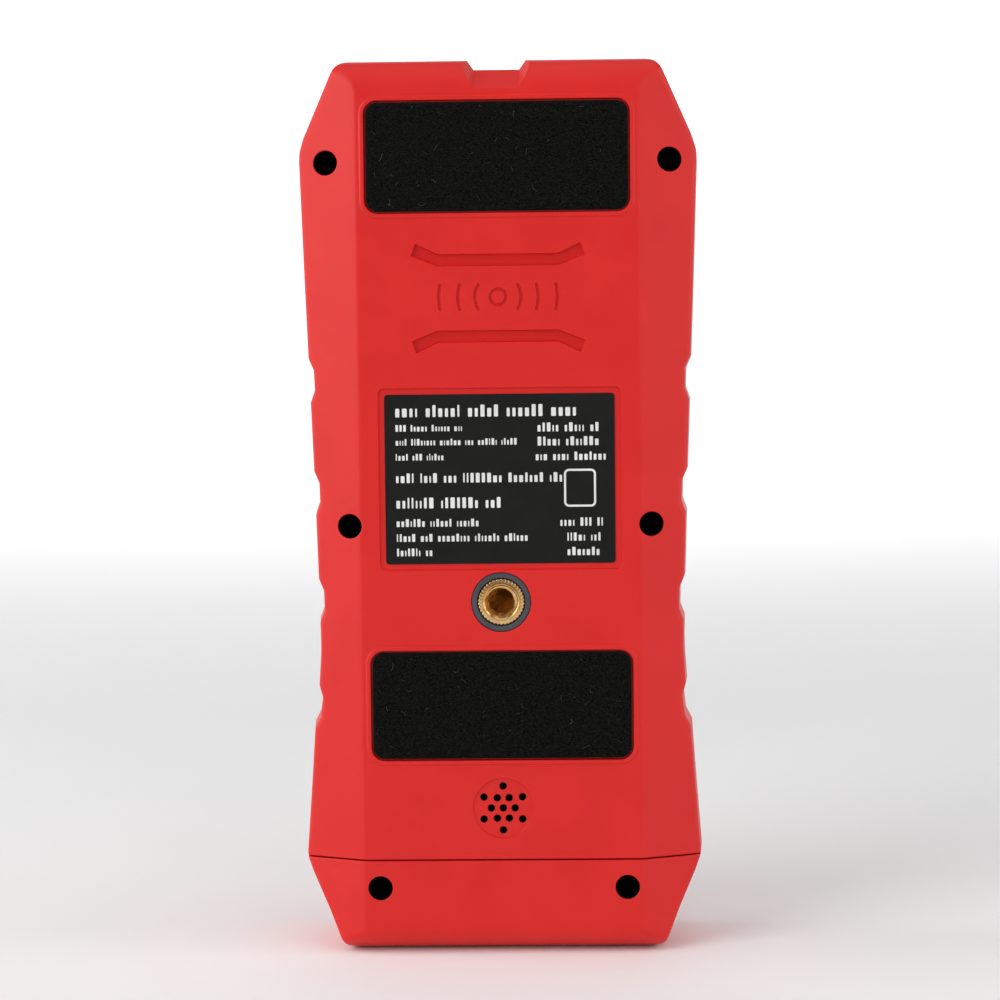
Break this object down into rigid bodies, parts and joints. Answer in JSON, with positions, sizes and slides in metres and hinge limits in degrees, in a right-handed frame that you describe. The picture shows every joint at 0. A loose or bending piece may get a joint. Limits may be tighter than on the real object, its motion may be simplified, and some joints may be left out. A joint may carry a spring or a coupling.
{
  "type": "stud finder",
  "caption": "Handheld wall scanner with padded back, waisted grip case, tripod insert, colour display, push keys and a hinged charging-port cover.",
  "frame": {"origin": "centre of the bounding box at the bottom of the tail end, so the scanner stands on its tail", "axes": "+Z from the tail to the marking-notch end; -Y out of the padded back that slides on the wall; +Y out of the display and keys; +X to the right when looking at the back"},
  "size_m": [0.0818, 0.0298, 0.18],
  "materials": {
    "red_shell": "fine spark-eroded satin moulding",
    "felt": "dense short-pile felt",
    "label": "matt printed film",
    "brass": "turned and knurled",
    "sleeve": "satin moulding",
    "dark_plastic": "satin moulding",
    "key_rubber": "matt silicone",
    "rubber": "matt moulded rubber",
    "black_screw": "black zinc plating",
    "steel": "bright zinc or tin plating",
    "circuit_board": "solder-masked glass epoxy",
    "copper": "bare wound or etched copper",
    "white_plastic": "natural white moulding",
    "display_glass": "polished dark window",
    "diffuser": "clear light guide",
    "clear_plastic": "polished clear moulding",
    "foil": "crimped laminated foil pouch",
    "foam": "open-cell foam",
    "wire_red": "wire insulation",
    "wire_black": "wire insulation",
    "grille_cloth": "fine woven mesh"
  },
  "bodies": {
    "case": {"rear_shell": "red_shell", "front_shell": "red_shell", "tail_cover": "red_shell", "felt_pad_upper": "felt", "felt_pad_lower": "felt", "rating_label": "label", "tripod_insert": "brass", "insert_sleeve": "sleeve", "front_bezel": "dark_plastic", "display_window": "display_glass", "lcd_frame": "white_plastic", "backlight_panel": "diffuser", "lcd_panel": "display_glass", "status_light_pipe": "clear_plastic", "status_led": "white_plastic", "main_board": "circuit_board", "usb_socket": "steel", "usb_tongue": "dark_plastic", "processor": "dark_plastic", "shield_can": "steel", "sensor_board": "circuit_board", "sensor_coil": "copper", "sense_plate_left": "copper", "sense_plate_right": "copper", "ribbon_socket": "white_plastic", "board_ribbon": "white_plastic", "laser_module": "brass", "laser_window": "clear_plastic", "laser_cable": "wire_red", "battery_cell": "foil", "battery_foam": "foam", "battery_socket": "white_plastic", "battery_lead_positive": "wire_red", "battery_lead_negative": "wire_black", "sounder": "dark_plastic", "sounder_cloth": "grille_cloth", "sounder_cable": "wire_black", "case_screw_top_left": "black_screw", "case_screw_top_right": "black_screw", "case_screw_middle_left": "black_screw", "case_screw_middle_right": "black_screw", "case_screw_tail_left": "black_screw", "case_screw_tail_right": "black_screw", "board_screw_lower_left": "steel", "board_screw_lower_right": "steel", "board_screw_upper_left": "steel", "board_screw_upper_right": "steel", "power_switch": "dark_plastic", "mode_switch": "dark_plastic", "zero_switch": "dark_plastic", "laser_switch": "dark_plastic"},
    "power_button": {"power_key": "key_rubber", "power_plunger": "white_plastic"},
    "mode_button": {"mode_key": "key_rubber", "mode_plunger": "white_plastic"},
    "zero_button": {"zero_key": "key_rubber", "zero_plunger": "white_plastic"},
    "laser_button": {"laser_key": "key_rubber", "laser_plunger": "white_plastic"},
    "port_flap": {"usb_cover": "rubber"}
  },
  "joints": [
    {"name": "power_key_press", "type": "slide", "parent": "case", "child": "power_button", "axis": [0, -1, 0], "range_m": [0, 0.0006], "stiffness_N_per_m": 1500, "springref_m": -0.0002},
    {"name": "mode_key_press", "type": "slide", "parent": "case", "child": "mode_button", "axis": [0, -1, 0], "range_m": [0, 0.0006], "stiffness_N_per_m": 1500, "springref_m": -0.0002},
    {"name": "zero_key_press", "type": "slide", "parent": "case", "child": "zero_button", "axis": [0, -1, 0], "range_m": [0, 0.0006], "stiffness_N_per_m": 1500, "springref_m": -0.0002},
    {"name": "laser_key_press", "type": "slide", "parent": "case", "child": "laser_button", "axis": [0, -1, 0], "range_m": [0, 0.0006], "stiffness_N_per_m": 1500, "springref_m": -0.0002},
    {"name": "usb_cover_hinge", "type": "hinge", "parent": "case", "child": "port_flap", "pos_m": [0.03865, 0.0112, 0.032], "axis": [0, 0, 1], "range_deg": [0, 110]}
  ]
}
